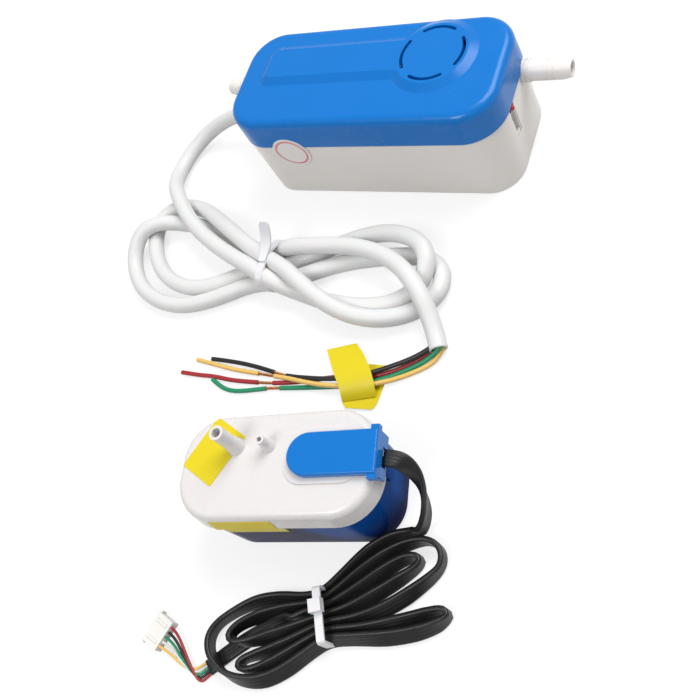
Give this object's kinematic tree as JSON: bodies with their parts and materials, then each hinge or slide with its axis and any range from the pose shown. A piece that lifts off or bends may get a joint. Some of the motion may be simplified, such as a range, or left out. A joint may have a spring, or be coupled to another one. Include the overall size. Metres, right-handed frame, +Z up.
{
  "type": "condensate pump",
  "caption": "Condensate pump set: in-line piston pump in a rounded housing, with a separate float reservoir, tied mains cord and flat sensor lead.",
  "frame": {"origin": "on the floor, under the middle of the two standing units (cords left out)", "axes": "+X along the pump unit towards its sensor socket, +Y from the reservoir to the pump unit, +Z up"},
  "size_m": [0.2499, 0.3177, 0.062],
  "materials": {
    "white_abs": "moulded white ABS, satin",
    "white_abs_lid": "moulded white ABS, satin",
    "blue_abs": "moulded blue ABS, glossy",
    "steel_screw": "zinc plated",
    "paper_seal": "printed paper seal",
    "black_rubber": "moulded rubber",
    "grey_plastic": "glass-filled nylon",
    "valve_rubber": "silicone",
    "steel_tube": "turned stainless steel",
    "copper_wire": "enamelled copper wire",
    "zinc_steel": "zinc-plated mild steel",
    "cord_pvc": "soft white PVC",
    "green_board": "glass-epoxy board",
    "blue_box": "relay case",
    "dark_can": "sleeved capacitor",
    "fuse_glass": "ceramic fuse",
    "terminal_green": "terminal block",
    "white_nylon": "natural nylon",
    "tinned_pin": "tinned brass",
    "red_led": "red epoxy",
    "blue_tank": "smoked translucent blue plastic",
    "white_float": "foamed polypropylene",
    "ferrite": "bonded ferrite",
    "yellow_label": "yellow paper label",
    "nylon_tie": "nylon cable tie",
    "core_black": "PVC insulation",
    "core_red": "PVC insulation",
    "core_green": "PVC insulation",
    "core_yellow": "PVC insulation",
    "lead_pvc": "soft black PVC",
    "lead_core": "PVC insulation"
  },
  "bodies": {
    "root": {"base_shell": "white_abs", "top_cover": "blue_abs", "cover_screws": "steel_screw", "seam_seal": "paper_seal", "inlet_barb": "white_abs", "outlet_barb": "white_abs", "inlet_hose": "black_rubber", "outlet_hose": "black_rubber", "inlet_head": "grey_plastic", "outlet_head": "grey_plastic", "inlet_valve": "valve_rubber", "outlet_valve": "valve_rubber", "inlet_rubber_mount": "black_rubber", "outlet_rubber_mount": "black_rubber", "pump_tube": "steel_tube", "coil_bobbin": "grey_plastic", "coil_winding": "copper_wire", "coil_yoke": "zinc_steel", "return_spring": "steel_tube", "buffer_spring": "steel_tube", "cord_grip": "cord_pvc", "control_board": "green_board", "relay": "blue_box", "filter_capacitor": "dark_can", "fuse": "fuse_glass", "terminal_block": "terminal_green", "sensor_socket": "white_nylon", "socket_pins": "tinned_pin", "status_led": "red_led", "tank": "blue_tank", "label_lower": "yellow_label", "mains_cord": "cord_pvc", "mains_cord_hank": "cord_pvc", "mains_cord_tail": "cord_pvc", "cord_tie": "nylon_tie", "core_black": "core_black", "core_red": "core_red", "core_green": "core_green", "core_yellow": "core_yellow", "wire_tag": "yellow_label", "sensor_lead": "lead_pvc", "sensor_lead_hank": "lead_pvc", "lead_tie": "nylon_tie", "lead_plug": "white_nylon", "lead_cores": "lead_core"},
    "lid": {"tank_lid": "white_abs_lid", "lid_gasket": "black_rubber", "label_upper": "yellow_label", "lid_label": "yellow_label", "sensor_cover": "blue_abs", "sensor_board": "green_board", "float_cage": "white_nylon", "suction_strainer": "white_nylon"},
    "float": {"float": "white_float", "float_magnet": "ferrite"},
    "plunger": {"plunger": "steel_tube"}
  },
  "joints": [
    {"name": "plunger_stroke", "type": "slide", "parent": "root", "child": "plunger", "axis": [1, 0, 0], "range_m": [-0.003, 0.003], "stiffness_N_per_m": 800, "deforming": ["return_spring", "buffer_spring"]},
    {"name": "lid_lift", "type": "slide", "parent": "root", "child": "lid", "axis": [0, 0, 1], "range_m": [0, 0.045]},
    {"name": "float_rise", "type": "slide", "parent": "lid", "child": "float", "axis": [0, 0, 1], "range_m": [0, 0.008]}
  ]
}
